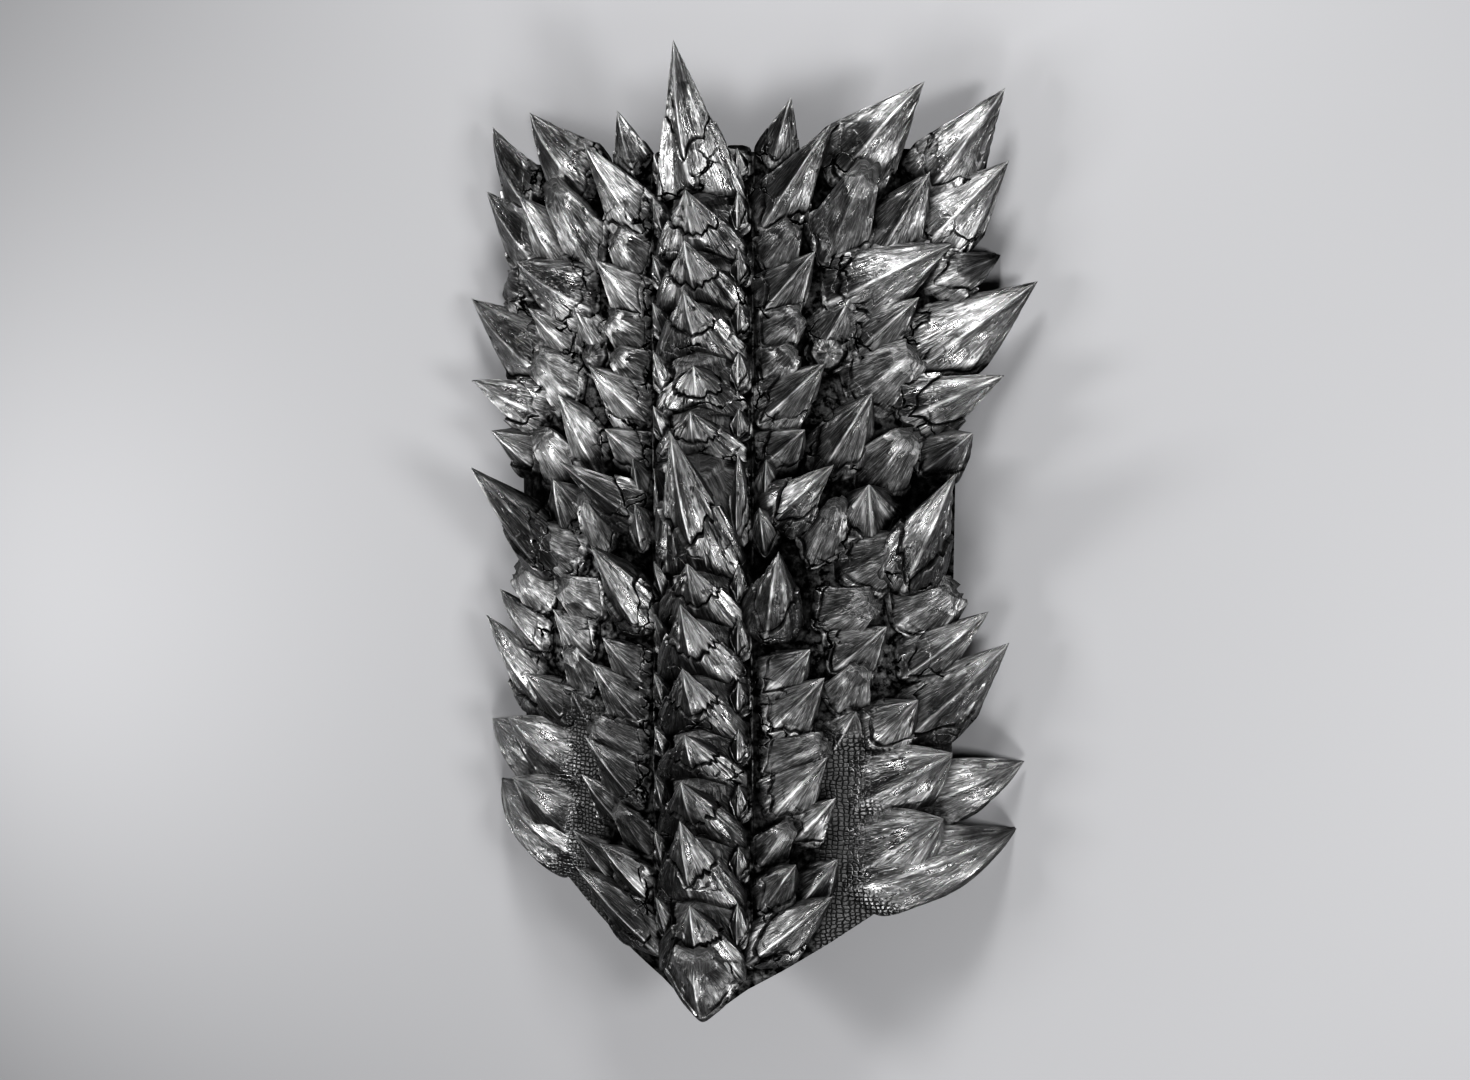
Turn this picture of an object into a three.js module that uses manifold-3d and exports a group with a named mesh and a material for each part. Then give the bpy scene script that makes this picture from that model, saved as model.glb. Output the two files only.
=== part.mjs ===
// A tower shield: a bent wall clad in overlapping keeled scales and spikes, lying on its back.
// Millimetres. X runs across the shield, Y toward its top, Z up out of its face.
import * as THREE from "three";
import { mergeVertices } from "three/addons/utils/BufferGeometryUtils.js";
import Module from "manifold-3d";

const wasm = await Module();
wasm.setup();

// Driving dimensions of the wall.
const wallRadius = 600; // bend of the wall's face about an axis along Y
const wallThickness = 6;
const wallCrown = 134; // height of the face on the centre line
const wallSteps = 10; // flats across the bend

// Fits between neighbouring pieces.
const seatGap = 0.35; // a scale to the wall
const plateGap = 0.7; // a scale to the scale that lies over it
const scaleEdge = 5; // upright edge round a scale
const scuteEdge = 11; // upright edge round a spine scute
const footShare = 0.35; // share of a raised keel foot that the corners beside it have
const smallWide = 92; // a scale narrower than this has a plainer footprint
const bladeLift = 0.08; // least height of a scale's middle over its root, as a share of its reach
const bladeThick = 9; // depth of a low blade at its middle
const bluntShare = 0.3; // share of the footprint left at a blunt end
const rootSunk = 3; // how far a root starts under the wall's face before it is cut to fit
const wholeShare = 0.97; // a plate that keeps less than this in one body is tied by webs
const trimSlack = 0.2; // slivers left by the cuts are merged within this
const webHalf = 13; // half width of the low web that ties the scales of one plate
const webHeight = 4;

// The grip behind the wall.
const gripSpan = 166;
const gripTall = 28;
const gripThick = 16;
const gripRear = 70; // height of its flat rear face over the floor
const gripFoot = 26;

// Half width of the wall from the top edge to the bottom point.
const outline = [
  { along: 490, half: 262 },
  { along: 474, half: 290 },
  { along: 430, half: 302 },
  { along: 180, half: 303 },
  { along: -80, half: 301 },
  { along: -330, half: 302 },
  { along: -380, half: 292 },
  { along: -425, half: 256 },
  { along: -460, half: 206 },
  { along: -495, half: 158 },
  { along: -530, half: 106 },
  { along: -560, half: 58 },
  { along: -603, half: 5 },
];

// Footprint of a scale going round from the foot of its keel, in shares of its half width and length.
const scalePrint = [
  { wide: 0, long: -1 },
  { wide: 0.92, long: -0.45 },
  { wide: 0.9, long: 0.55 },
  { wide: 0, long: 0.95 },
  { wide: -0.9, long: 0.55 },
  { wide: -0.92, long: -0.45 },
];
const smallPrint = [
  { wide: 0, long: -1 },
  { wide: 1, long: -0.2 },
  { wide: 0.6, long: 0.9 },
  { wide: -0.6, long: 0.9 },
  { wide: -1, long: -0.2 },
];
const scutePrint = [
  { wide: 0, long: -1 },
  { wide: 0.9, long: -0.88 },
  { wide: 1, long: -0.1 },
  { wide: 0.9, long: 0.98 },
  { wide: -0.9, long: 0.98 },
  { wide: -1, long: -0.1 },
  { wide: -0.9, long: -0.88 },
];
const tailPrint = [
  { wide: 0, long: -1 },
  { wide: 0.5, long: -0.45 },
  { wide: 0.94, long: 0.3 },
  { wide: 0.95, long: 0.98 },
  { wide: -0.95, long: 0.98 },
  { wide: -0.94, long: 0.3 },
  { wide: -0.5, long: -0.45 },
];

// Rings of a scale on the way from its edge to its point: share of the footprint left, lift of the keel.
const rings = [{ way: 0.48, left: 0.5, ridge: 0.08 }];
const scuteRings = [{ way: 0.36, left: 0.46, ridge: 0.1 }];

// Spine scutes, top to bottom: foot of the keel, head of the root, rise of the keel's foot, point.
const scuteColumns = ["foot", "head", "half", "footRise", "tipAlong", "tipRise"];
const scuteRows = [
  [448, 494, 62, 36, 610, 88],
  [380, 447, 63, 22, 440, 53],
  [316, 379, 64, 17, 380, 57],
  [255, 315, 64, 14, 320, 60],
  [188, 254, 64, 19, 230, 30],
  [130, 187, 64, 26, 174, 40],
  [-12, 129, 63, 14, 150, 100],
  [-76, -13, 64, 18, -12, 51],
  [-146, -77, 64, 21, -60, 72],
  [-216, -147, 64, 16, -140, 66],
  [-277, -217, 64, 24, -224, 59],
  [-352, -278, 64, 18, -280, 72],
  [-430, -353, 64, 34, -328, 75],
  [-516, -431, 63, 16, -442, 46],
  [-610, -517, 58, 5, -523, 34],
];

// Scales of the right side. Root centre and size on the wall, then the point and its rise over the wall.
// A taper under 1 leaves a blunt end.
const scaleColumns = ["across", "along", "wide", "long", "tipAcross", "tipAlong", "tipRise", "taper"];
const innerPlates = [
  [
    [96, 488, 60, 52, 114, 551, 12, 1],
    [98, 424, 84, 94, 160, 515, 21, 1],
  ],
  [
    [94, 364, 72, 54, 112, 390, 16, 0.5],
    [97, 315, 80, 78, 143, 366, 20, 1],
  ],
  [
    [94, 268, 74, 54, 119, 287, 16, 0.5],
    [94, 226, 72, 50, 112, 243, 15, 0.5],
    [99, 181, 84, 84, 155, 232, 20, 1],
  ],
  [
    [97, 122, 78, 68, 132, 152, 18, 1],
    [84, 78, 44, 62, 87, 115, 22, 1],
  ],
  [
    [116, 62, 80, 88, 167, 111, 63, 1],
    [82, 20, 44, 62, 80, 57, 28, 1],
  ],
  [[96, -58, 84, 120, 111, 8, 77, 1]],
  [
    [98, -158, 80, 70, 139, -118, 16, 1],
    [106, -206, 86, 78, 156, -152, 18, 1],
  ],
  [
    [98, -266, 80, 54, 148, -238, 17, 0.7],
    [107, -312, 88, 78, 160, -250, 25, 1],
    [132, -346, 62, 62, 170, -301, 22, 1],
  ],
  [
    [88, -378, 60, 70, 110, -347, 18, 0.6],
    [94, -430, 64, 78, 126, -381, 42, 1],
    [138, -425, 64, 78, 173, -374, 35, 1],
    [98, -488, 76, 126, 167, -420, 38, 1],
  ],
];
const flankPlates = [
  [
    [182, 472, 112, 78, 262, 567, 14, 1],
    [282, 462, 94, 78, 346, 562, 14, 1],
  ],
  [
    [168, 388, 84, 102, 195, 450, 34, 0.5],
    [230, 391, 82, 94, 266, 459, 30, 1],
    [284, 398, 94, 92, 348, 475, 23, 1],
  ],
  [
    [192, 322, 112, 100, 294, 376, 14, 1],
    [290, 334, 72, 72, 356, 367, -22, 1],
  ],
  [
    [162, 272, 70, 70, 188, 321, 14, 1],
    [208, 264, 80, 78, 257, 311, 24, 1],
    [282, 250, 112, 122, 375, 331, 33, 1],
  ],
  [
    [152, 236, 66, 70, 170, 256, 14, 0.5],
    [206, 206, 94, 70, 247, 238, 17, 0.5],
    [272, 182, 102, 84, 336, 217, 55, 1],
  ],
  [
    [166, 126, 80, 116, 208, 197, 19, 1],
    [215, 98, 88, 78, 244, 137, 15, 0.5],
    [278, 116, 80, 78, 309, 148, 45, 1],
  ],
  [
    [150, 14, 66, 84, 166, 52, 15, 0.5],
    [207, 42, 84, 80, 204, 86, 33, 1],
    [258, 12, 88, 136, 281, 101, 97, 1],
  ],
  [
    [204, -14, 100, 86, 244, 8, 26, 0.8],
    [168, -78, 88, 70, 202, -60, 14, 0.5],
    [260, -72, 104, 72, 292, -50, 14, 0.5],
  ],
  [
    [185, -127, 86, 72, 226, -89, 14, 1],
    [268, -132, 80, 82, 335, -72, 17, 1],
  ],
  [
    [180, -178, 68, 62, 194, -148, 14, 0.5],
    [224, -218, 84, 72, 258, -176, 35, 1],
    [280, -194, 96, 114, 353, -110, 28, 1],
  ],
  [
    [176, -226, 60, 60, 192, -194, 16, 1],
    [221, -296, 120, 98, 295, -243, 35, 1],
    [286, -304, 92, 84, 378, -263, 8, 1],
  ],
  [
    [222, -376, 116, 104, 286, -324, 35, 1],
    [240, -400, 110, 152, 376, -352, -5, 1],
  ],
];

const rowsOf = (columns, rows) =>
  rows.map((row) => Object.fromEntries(columns.map((column, i) => [column, row[i]])));

// A point over the wall's face: X across, Y along, and a height square to the face.
function overWall(across, along, rise) {
  const turn = Math.asin(across / wallRadius);
  const reach = wallRadius + rise;
  return new THREE.Vector3(
    reach * Math.sin(turn),
    along,
    wallCrown - wallRadius + reach * Math.cos(turn),
  );
}

// Vertices moved out so that every face that meets there shifts square to itself by the same gap.
function grownPoints(points, triangles, gap) {
  const sums = points.map(() => ({ square: new Array(6).fill(0), pull: new THREE.Vector3() }));
  for (const [a, b, c] of triangles) {
    const normal = points[b].clone().sub(points[a]).cross(points[c].clone().sub(points[a])).normalize();
    const { x, y, z } = normal;
    for (const i of [a, b, c]) {
      [x * x, y * y, z * z, x * y, y * z, x * z].forEach((term, k) => {
        sums[i].square[k] += term;
      });
      sums[i].pull.addScaledVector(normal, gap);
    }
  }
  return points.map((p, i) => {
    const [xx, yy, zz, xy, yz, xz] = sums[i].square;
    const e = 0.02;
    const solve = new THREE.Matrix3().set(xx + e, xy, xz, xy, yy + e, yz, xz, yz, zz + e).invert();
    return p.clone().add(sums[i].pull.applyMatrix3(solve).clampLength(0, 8 * gap));
  });
}

// A closed solid from vertices and triangles, grown by a gap where it serves as a cutter.
function solidFrom(points, triangles, gap = 0) {
  const corners = gap > 0 ? grownPoints(points, triangles, gap) : points;
  return new wasm.Manifold(
    new wasm.Mesh({
      numProp: 3,
      vertProperties: new Float32Array(corners.flatMap((p) => [p.x, p.y, p.z])),
      triVerts: new Uint32Array(triangles.flat()),
    }),
  );
}

// A solid skinned over rings of equal count, with flat fans over its first ring and its last.
// Given a point, the last ring closes on it instead.
function loft(sections, gap = 0, point = null) {
  const count = sections[0].length;
  const points = sections.flat();
  const triangles = [];
  for (let s = 0; s + 1 < sections.length; s += 1) {
    for (let i = 0; i < count; i += 1) {
      const a = s * count + i;
      const b = s * count + ((i + 1) % count);
      triangles.push([a, b, b + count], [a, b + count, a + count]);
    }
  }
  const last = (sections.length - 1) * count;
  for (let i = 1; i + 1 < count; i += 1) {
    triangles.push([0, i + 1, i]);
    if (!point) {
      triangles.push([last, last + i, last + i + 1]);
    }
  }
  if (point) {
    for (let i = 0; i < count; i += 1) {
      triangles.push([last + i, last + ((i + 1) % count), points.length]);
    }
    points.push(point);
  }
  return solidFrom(points, triangles, gap);
}

// The bent wall: every row of the outline is an arc of flats, front and back.
function wallSolid(grow) {
  const sections = outline.map(({ along, half }, row) => {
    const stretch = row === 0 ? grow : row === outline.length - 1 ? -grow : 0;
    const front = [];
    const back = [];
    for (let i = 0; i <= wallSteps; i += 1) {
      const across = (half + grow) * ((2 * i) / wallSteps - 1);
      front.push(overWall(across, along + stretch, grow));
      back.unshift(overWall(across, along + stretch, -wallThickness - grow));
    }
    return [...front, ...back];
  });
  return stripSolid(sections, wallSteps + 1);
}

// Rings made of a front run and a back run, capped by strips between the two runs.
// The quads of the two halves are split the opposite way, so that the wall is the same left and right.
function stripSolid(sections, run) {
  const count = 2 * run;
  const points = sections.flat();
  const triangles = [];
  for (let s = 0; s + 1 < sections.length; s += 1) {
    for (let i = 0; i < count; i += 1) {
      const a = s * count + i;
      const b = s * count + ((i + 1) % count);
      const firstHalf = i % run < (run - 1) / 2;
      if (firstHalf === i < run) {
        triangles.push([a, a + count, b], [b, a + count, b + count]);
      } else {
        triangles.push([a, b + count, b], [a, a + count, b + count]);
      }
    }
  }
  const last = (sections.length - 1) * count;
  for (let i = 0; i + 1 < run; i += 1) {
    const j = count - 1 - i;
    triangles.push([i, i + 1, j], [i + 1, j - 1, j]);
    triangles.push([last + i, last + j, last + i + 1], [last + i + 1, last + j, last + j - 1]);
  }
  return solidFrom(points, triangles);
}

// A keeled scale: an upright edge round its footprint, then rings that close in on its point.
function scaleSolid(row, gap) {
  const print = row.print ?? (row.wide < smallWide ? smallPrint : scalePrint);
  const edge = row.edge ?? scaleEdge;
  const foot = row.footRise ?? edge;
  const heading = Math.atan2(row.tipAcross - row.across, row.tipAlong - row.along);
  const [sin, cos] = [Math.sin(heading), Math.cos(heading)];
  const spot = ({ wide, long }) => {
    const a = (wide * row.wide) / 2;
    const g = (long * row.long) / 2;
    return [row.across + a * cos + g * sin, row.along - a * sin + g * cos];
  };
  const edgeRise = (i) => {
    const beside = i === 1 || i === print.length - 1;
    return i === 0 ? foot : beside ? edge + footShare * (foot - edge) : edge;
  };
  const root = overWall(row.across, row.along, edge);
  const point = overWall(row.tipAcross, row.tipAlong, row.tipRise);
  const reach = point.distanceTo(root);
  const up = overWall(row.across, row.along, edge + 1).sub(root);
  const rise = point.clone().sub(root).dot(up);
  const ahead = point.clone().sub(root).addScaledVector(up, -rise);
  const out = ahead.length();
  ahead.normalize();
  const low = print.map((p) => overWall(...spot(p), -rootSunk));
  const high = print.map((p, i) => overWall(...spot(p), edgeRise(i)));
  // Corners that lie toward a low or hanging point sink, so that the blade keeps its depth.
  const ringAt = (centre, share, lift, sink) =>
    high.map((corner, i) => {
      const arm = corner.clone().sub(root);
      const drop = sink(Math.max(0, share * arm.dot(ahead)));
      return centre
        .clone()
        .addScaledVector(arm, share)
        .addScaledVector(up, (i === 0 ? lift : 0) - drop);
    });
  const sections = [low, high];
  for (const { way, left, ridge } of row.rings ?? rings) {
    const share = left ** row.taper;
    const height = Math.max(way * rise, bladeLift * reach);
    const centre = root.clone().addScaledVector(ahead, way * out).addScaledVector(up, height);
    const fall = Math.max(0, height - rise) / ((1 - way) * out);
    const depth = THREE.MathUtils.clamp(bladeThick + height - rise, 0, bladeThick);
    const sink = (past) => past * (fall + depth / (0.25 * row.long));
    sections.push(ringAt(centre, share, ridge * reach, sink));
  }
  if (row.taper < 1) {
    sections.push(ringAt(point, bluntShare, 0, () => 0));
    return loft(sections, gap);
  }
  return loft(sections, gap, point);
}

// A low web between the roots of two scales of one plate.
function webSolid(from, to, gap) {
  const steps = 2;
  const heading = Math.atan2(to.across - from.across, to.along - from.along);
  const sections = [];
  for (let s = 0; s <= steps; s += 1) {
    const across = THREE.MathUtils.lerp(from.across, to.across, s / steps);
    const along = THREE.MathUtils.lerp(from.along, to.along, s / steps);
    const side = (half, rise) =>
      overWall(across + half * Math.cos(heading), along - half * Math.sin(heading), rise);
    sections.push([
      side(-webHalf, webHeight),
      side(webHalf, webHeight),
      side(webHalf, -rootSunk),
      side(-webHalf, -rootSunk),
    ]);
  }
  return loft(sections, gap);
}

// The joined scales of one plate, tied by webs where they would come apart.
function plateSolid(plate, gap, tied) {
  let solid = scaleSolid(plate[0], gap);
  for (let i = 1; i < plate.length; i += 1) {
    solid = solid.add(scaleSolid(plate[i], gap));
    if (tied) {
      solid = solid.add(webSolid(plate[i - 1], plate[i], gap));
    }
  }
  return solid;
}

const boxesMeet = (a, b) => [0, 1, 2].every((k) => a.min[k] < b.max[k] && b.min[k] < a.max[k]);

// The biggest body of a cut solid.
function mainBody(solid) {
  return solid.decompose().sort((a, b) => b.volume() - a.volume())[0];
}

// A box that trims whatever would reach under the floor.
function floorSolid() {
  const corner = (z) => [
    new THREE.Vector3(-600, -800, z),
    new THREE.Vector3(600, -800, z),
    new THREE.Vector3(600, 800, z),
    new THREE.Vector3(-600, 800, z),
  ];
  return loft([corner(-200), corner(0)]);
}

// The grip: a flat bar on two feet that are cut to the back of the wall.
function gripSolid() {
  const profile = new THREE.Shape();
  const half = gripSpan / 2;
  const high = wallCrown - wallThickness / 2;
  profile.moveTo(-half, gripRear);
  profile.lineTo(half, gripRear);
  profile.lineTo(half, high);
  profile.lineTo(half - gripFoot, high);
  profile.lineTo(half - gripFoot, gripRear + gripThick);
  profile.lineTo(gripFoot - half, gripRear + gripThick);
  profile.lineTo(gripFoot - half, high);
  profile.lineTo(-half, high);
  profile.closePath();
  const bar = new THREE.ExtrudeGeometry(profile, { depth: gripTall, bevelEnabled: false });
  bar.rotateX(Math.PI / 2);
  bar.translate(0, gripTall / 2, 0);
  bar.deleteAttribute("normal");
  bar.deleteAttribute("uv");
  const merged = mergeVertices(bar);
  const solid = new wasm.Manifold(
    new wasm.Mesh({
      numProp: 3,
      vertProperties: new Float32Array(merged.attributes.position.array),
      triVerts: new Uint32Array(merged.index.array),
    }),
  );
  return mainBody(solid.subtract(wallSolid(seatGap)));
}

const shield = new THREE.Group();
shield.name = "tower_shield";

const steel = (name, color, roughness) =>
  new THREE.MeshStandardMaterial({ name, color, roughness, metalness: 0.9 });
const looks = {
  spine: steel("spine_metal", 0x55585c, 0.34),
  scale: steel("scale_metal", 0x484b4f, 0.38),
  wall: steel("wall_metal", 0x2b2d30, 0.6),
  grip: steel("grip_metal", 0x26272a, 0.55),
};

// A solid becomes a mesh. A mirrored copy has its triangles turned so that they still face out.
function addMesh(name, solid, material, side = 1) {
  const { vertProperties, triVerts, numProp } = solid.getMesh();
  const geometry = new THREE.BufferGeometry();
  const position = new Float32Array((vertProperties.length / numProp) * 3);
  for (let i = 0; i < position.length / 3; i += 1) {
    position[3 * i] = side * vertProperties[numProp * i];
    position[3 * i + 1] = vertProperties[numProp * i + 1];
    position[3 * i + 2] = vertProperties[numProp * i + 2];
  }
  const index = Array.from(triVerts);
  if (side < 0) {
    for (let t = 0; t < index.length; t += 3) {
      [index[t + 1], index[t + 2]] = [index[t + 2], index[t + 1]];
    }
  }
  geometry.setAttribute("position", new THREE.BufferAttribute(position, 3));
  geometry.setIndex(index);
  geometry.computeVertexNormals();
  const mesh = new THREE.Mesh(geometry, material);
  mesh.name = name;
  shield.add(mesh);
}

const seat = wallSolid(seatGap);
const floor = floorSolid();
const placed = [];

// A plate cut to its seat, to the floor and to every plate already laid over it.
function cutPlate(plate, tied) {
  let solid = plateSolid(plate, 0, tied).subtract(seat).subtract(floor);
  for (const cover of placed) {
    if (boxesMeet(solid.boundingBox(), cover.boundingBox())) {
      solid = solid.subtract(cover);
    }
  }
  return solid;
}

// What a plate leaves for the next ones is its own form, grown by the gap.
function layPlate(plate) {
  const loose = cutPlate(plate, false);
  const tied = mainBody(loose).volume() < wholeShare * loose.volume();
  const solid = tied ? cutPlate(plate, true) : loose;
  placed.push(plateSolid(plate, plateGap, tied));
  return mainBody(solid).simplify(trimSlack);
}

addMesh("shell", wallSolid(0), looks.wall);
addMesh("grip", gripSolid(), looks.grip);

const scutes = rowsOf(scuteColumns, scuteRows).map((row, i) => ({
  across: 0,
  along: (row.foot + row.head) / 2,
  wide: 2 * row.half,
  long: row.head - row.foot,
  tipAcross: 0,
  tipAlong: row.tipAlong,
  tipRise: row.tipRise,
  footRise: row.footRise,
  taper: 1,
  edge: i === scuteRows.length - 1 ? 6 : scuteEdge,
  rings: scuteRings,
  print: i === scuteRows.length - 1 ? tailPrint : scutePrint,
}));

const label = (i) => String(i + 1).padStart(2, "0");
const layUpward = (plates, place) => {
  for (let i = plates.length - 1; i >= 0; i -= 1) {
    place(layPlate(plates[i]), i);
  }
};

layUpward(
  scutes.map((scute) => [scute]),
  (solid, i) => addMesh(`spine_scute_${label(i)}`, solid, looks.spine),
);
layUpward(
  innerPlates.map((plate) => rowsOf(scaleColumns, plate)),
  (solid, i) => {
    addMesh(`inner_scales_right_${label(i)}`, solid, looks.scale);
    addMesh(`inner_scales_left_${label(i)}`, solid, looks.scale, -1);
  },
);
layUpward(
  flankPlates.map((plate) => rowsOf(scaleColumns, plate)),
  (solid, i) => {
    addMesh(`flank_scales_right_${label(i)}`, solid, looks.scale);
    addMesh(`flank_scales_left_${label(i)}`, solid, looks.scale, -1);
  },
);

export default shield;
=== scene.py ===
# The finished tower shield: a bent iron wall clad in keeled scales and thorns, lying on its back.
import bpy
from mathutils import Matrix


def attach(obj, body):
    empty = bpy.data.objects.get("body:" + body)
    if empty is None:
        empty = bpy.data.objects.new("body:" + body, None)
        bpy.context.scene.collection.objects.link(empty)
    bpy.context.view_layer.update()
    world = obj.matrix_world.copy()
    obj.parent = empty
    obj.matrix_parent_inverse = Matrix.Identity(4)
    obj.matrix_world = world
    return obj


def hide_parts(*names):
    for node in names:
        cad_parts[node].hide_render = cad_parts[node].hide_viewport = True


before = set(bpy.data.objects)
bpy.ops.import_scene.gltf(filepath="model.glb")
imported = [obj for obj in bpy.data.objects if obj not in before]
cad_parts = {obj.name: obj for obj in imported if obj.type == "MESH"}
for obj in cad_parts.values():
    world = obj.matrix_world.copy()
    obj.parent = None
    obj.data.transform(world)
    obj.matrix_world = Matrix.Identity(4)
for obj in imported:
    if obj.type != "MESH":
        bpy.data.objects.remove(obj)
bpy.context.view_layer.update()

from types import SimpleNamespace

import bpy
import numpy as np
from mathutils import Matrix, Vector

mm = 0.001

# the wall that carries every scale, sizes in millimetres
wall = {
    "radius": 600,
    "crown": 134,
    "thick": 6,
    "stations": 200,
    "columns": 150,
    "seat": 0.4,           # its bare face lies this far under the scales' seats
    "bed": 3.6,            # rise of the gnarled ground between the scales
    "bedFade": (30, 25),   # where it comes up, in from the side rims and the top
    "dents": 1.4,
    "dentFade": (6, 8),
    "knotSize": 16,
    "creaseSize": 9,
    "hammer": 0.35,        # marks on the rear
    "hammerSize": 22,
    "outline": [  # along, half width
        (490, 262), (474, 290), (430, 302), (180, 303), (-80, 301), (-330, 302), (-380, 292),
        (-425, 256), (-460, 206), (-495, 158), (-530, 106), (-560, 58), (-603, 5),
    ],
}

# shared build of a scale, sizes in millimetres
scale = {
    "loopPoints": 62,    # points round a footprint
    "spinePoints": 96,   # the same on the spine's thorns
    "rootRings": 12,
    "bladeRings": 28,
    "edge": 5,           # rise of its rim over the wall
    "sunk": 4,           # root depth under the wall's face
    "smallWide": 92,     # narrower scales have the plainer footprint
    "tallRise": 50,      # scales with a higher point stand like thorns
    "bladeLift": 0.08,   # least height of the middle over the root, share of the reach
    "bladeThick": 9,     # depth of a low blade at its middle
    "ridge": 0.08,       # crest of the keel, share of the reach
    "hollow": 0.055,     # hollow of the facets, share of their width
    "bluntShare": 0.5,   # footprint left at a blunt end
    "bluntKeel": 0.35,   # keel of a blunt scale, share of the others
    "ragged": 5,         # teeth along a blunt end
    "ledge": 3.2,        # step where the root block ends and the blade begins
    "crack": 2.6,        # depth of the crack above the step
    "grooves": 1.0,      # grooves down the root block
    "streak": 0.45,      # grooves that run to the point
    "dents": 1.3,
    "chips": 5.0,        # notches in the rims of the blade
    "rounding": 0.36,    # share of a side over which the footprint's corners are rounded
    "crisp": 32,         # folds sharper than this many degrees stay crisp
    "skirt": 0.35,       # height of the skirt's upper ring, share of the rim's rise
    "grainStart": (500, 300),  # start of the grain across and along
    "grainStep": 37,     # grain between one scale and the next
}

# sizes of the marks on a scale, in millimetres along its rim unless a note says otherwise
marks = {
    "tooth": 8,          # teeth of the ledge and of a blunt end
    "knot": 11,          # knots of the root block, in every direction
    "wave": 26,          # dents of the whole scale, in every direction
    "ridge": 6.5,        # ridges down the root block
    "fineStreak": 3.4,
    "broadStreak": 7.5,
    "crackRun": 13,      # stretches with and without a crack
    "crackGape": 9,      # changes of the crack's width
    "chip": 7,           # notches, along the way to the point
    "chipReach": 2.5,    # how far they bite in from the corner
    "lipRun": 11,        # stretches of worn ledge, bright as wear and painted highlight
    "wornKeel": 1.2,     # half widths of the worn lines, bright as wear and painted highlight
    "wornRim": 1.6,
    "wornLip": 1.4,
}

# half rims of the footprints, from the keel's foot round to the head, in shares of half width and length
rims = {
    "leaf": [(0, -1), (0.92, -0.45), (0.9, 0.55), (0, 0.95)],
    "small": [(0, -1), (1, -0.2), (0.6, 0.9)],
    "tail": [(0, -1), (0.5, -0.45), (0.94, 0.3), (0.95, 0.98)],
    "bed": [(0, -1.12), (0.6, -0.95), (1, -0.55), (1, 0.4), (0.95, 1.1)],
    "thorn": [(0, -1), (0.8, -0.85), (1, -0.35), (0.42, 0.45), (0, 0.7)],
    "spine": [(0, -1.05), (0.5, -1.35), (1, -1.6), (1, -0.8), (0.62, -0.3), (0.3, 0.3), (0, 0.5)],
    "tallSpine": [(0, -1), (0.5, -1.1), (1, -1.2), (1, -0.7), (0.62, -0.2), (0.3, 0.4), (0, 0.6)],
}

# where the root block ends at each corner of those rims, as a share of the way to the point
ledges = {
    "thorn": [0.12, 0.34, 0.4, 0.05, 0.04],
    "spine": [0.2, 0.4, 0.52, 0.46, 0.2, 0.04, 0.04],
    "tallSpine": [0.2, 0.34, 0.46, 0.42, 0.2, 0.04, 0.04],
}

# spine scutes, top to bottom: foot, head, half width, rise of the keel's foot, point along, point rise
scutes = [
    (448, 494, 62, 36, 610, 88),
    (380, 447, 63, 22, 440, 53),
    (316, 379, 64, 17, 380, 57),
    (255, 315, 64, 14, 320, 60),
    (188, 254, 64, 19, 230, 30),
    (130, 187, 64, 26, 174, 40),
    (-12, 129, 63, 14, 150, 100),
    (-76, -13, 64, 18, -12, 51),
    (-146, -77, 64, 21, -60, 72),
    (-216, -147, 64, 16, -140, 66),
    (-277, -217, 64, 24, -224, 59),
    (-352, -278, 64, 18, -280, 72),
    (-430, -353, 64, 34, -328, 75),
    (-516, -431, 63, 16, -442, 46),
    (-610, -517, 58, 5, -523, 34),
]

# scales of the right side: root across, along, wide, long, then the point across, along, rise, and taper
innerPlates = [
    [(96, 488, 60, 52, 114, 551, 12, 1), (98, 424, 84, 94, 160, 515, 21, 1)],
    [(94, 364, 72, 54, 112, 390, 16, 0.5), (97, 315, 80, 78, 143, 366, 20, 1)],
    [(94, 268, 74, 54, 119, 287, 16, 0.5), (94, 226, 72, 50, 112, 243, 15, 0.5),
     (99, 181, 84, 84, 155, 232, 20, 1)],
    [(97, 122, 78, 68, 132, 152, 18, 1), (84, 78, 44, 62, 87, 115, 22, 1)],
    [(116, 62, 80, 88, 167, 111, 63, 1), (82, 20, 44, 62, 80, 57, 28, 1)],
    [(96, -58, 84, 120, 111, 8, 77, 1)],
    [(98, -158, 80, 70, 139, -118, 16, 1), (106, -206, 86, 78, 156, -152, 18, 1)],
    [(98, -266, 80, 54, 148, -238, 17, 0.7), (107, -312, 88, 78, 160, -250, 25, 1),
     (132, -346, 62, 62, 170, -301, 22, 1)],
    [(88, -378, 60, 70, 110, -347, 18, 0.6), (94, -430, 64, 78, 126, -381, 42, 1),
     (138, -425, 64, 78, 173, -374, 35, 1), (98, -488, 76, 126, 167, -420, 38, 1)],
]
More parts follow.
